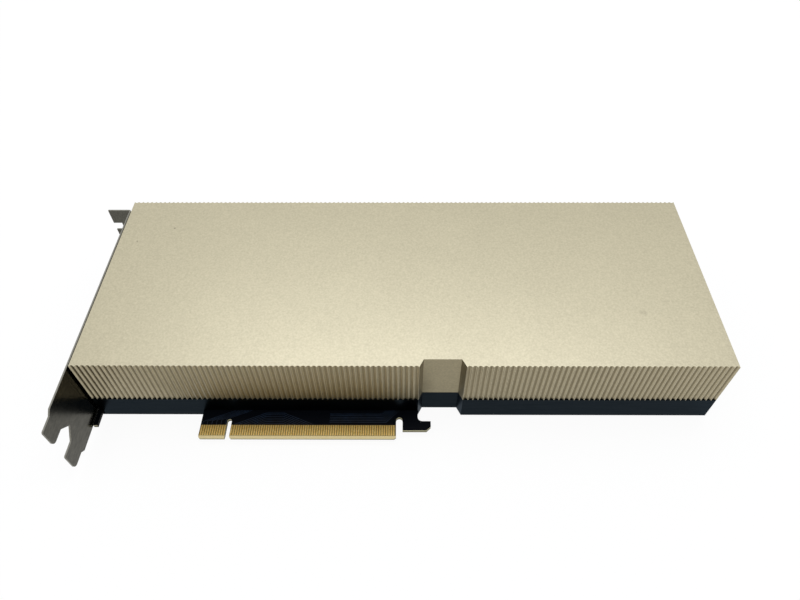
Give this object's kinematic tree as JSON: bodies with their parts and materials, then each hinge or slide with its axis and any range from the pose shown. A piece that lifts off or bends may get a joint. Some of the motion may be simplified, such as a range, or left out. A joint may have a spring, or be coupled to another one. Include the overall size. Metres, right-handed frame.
{
  "type": "passive accelerator card",
  "caption": "Dual-slot passively cooled accelerator card: fluted gold cover on a black base frame, edge connector tongue with latch hook, slot bracket, fin heat sink and power inlet.",
  "frame": {"origin": "middle of the back plate's flat outer face, on which the card lies", "axes": "+X from the slot bracket to the power end, -Y towards the edge connector, +Z from the back plate to the cover"},
  "size_m": [0.2799, 0.1256, 0.0387],
  "materials": {
    "gold_anodised": "champagne anodised, fine bead-blasted",
    "black_anodised_frame": "black anodised",
    "black_anodised_plate": "black anodised",
    "insulator_film": "black film",
    "solder_mask": "black solder mask",
    "contact_gold": "gold plated",
    "bracket_steel": "dark nickel plated sheet",
    "screw_steel": "black zinc",
    "plated_copper": "bare copper",
    "fin_aluminium": "bare sheet",
    "package_substrate": "green laminate",
    "stiffener_steel": "satin",
    "silicon": "polished",
    "thermal_paste": "grey paste",
    "ferrite": "pressed iron powder",
    "thermal_pad": "soft pad",
    "chip_package": "moulded",
    "can_aluminium": "drawn can",
    "ceramic_capacitor": "ceramic",
    "inlet_plastic": "moulded",
    "tinned_brass": "tin plated"
  },
  "bodies": {
    "root": {"cover": "gold_anodised", "base_frame": "black_anodised_frame", "back_plate": "black_anodised_plate", "insulator_sheet": "insulator_film", "circuit_board": "solder_mask", "upper_contacts": "contact_gold", "lower_contacts": "contact_gold", "slot_bracket": "bracket_steel", "bracket_screws": "screw_steel", "case_screws": "screw_steel", "heat_sink_screws": "screw_steel", "vapour_chamber": "plated_copper", "fin_stack": "fin_aluminium", "processor_substrate": "package_substrate", "stiffener_ring": "stiffener_steel", "processor_die": "silicon", "memory_stacks": "silicon", "thermal_paste": "thermal_paste", "power_chokes": "ferrite", "choke_pads": "thermal_pad", "power_stages": "chip_package", "stage_pads": "thermal_pad", "polymer_capacitors": "chip_package", "input_capacitors": "can_aluminium", "input_choke": "ferrite", "controller_chips": "chip_package", "flash_chip": "chip_package", "rear_capacitors": "ceramic_capacitor", "rear_thermal_pads": "thermal_pad", "power_inlet": "inlet_plastic", "inlet_pins": "tinned_brass"}
  },
  "joints": []
}
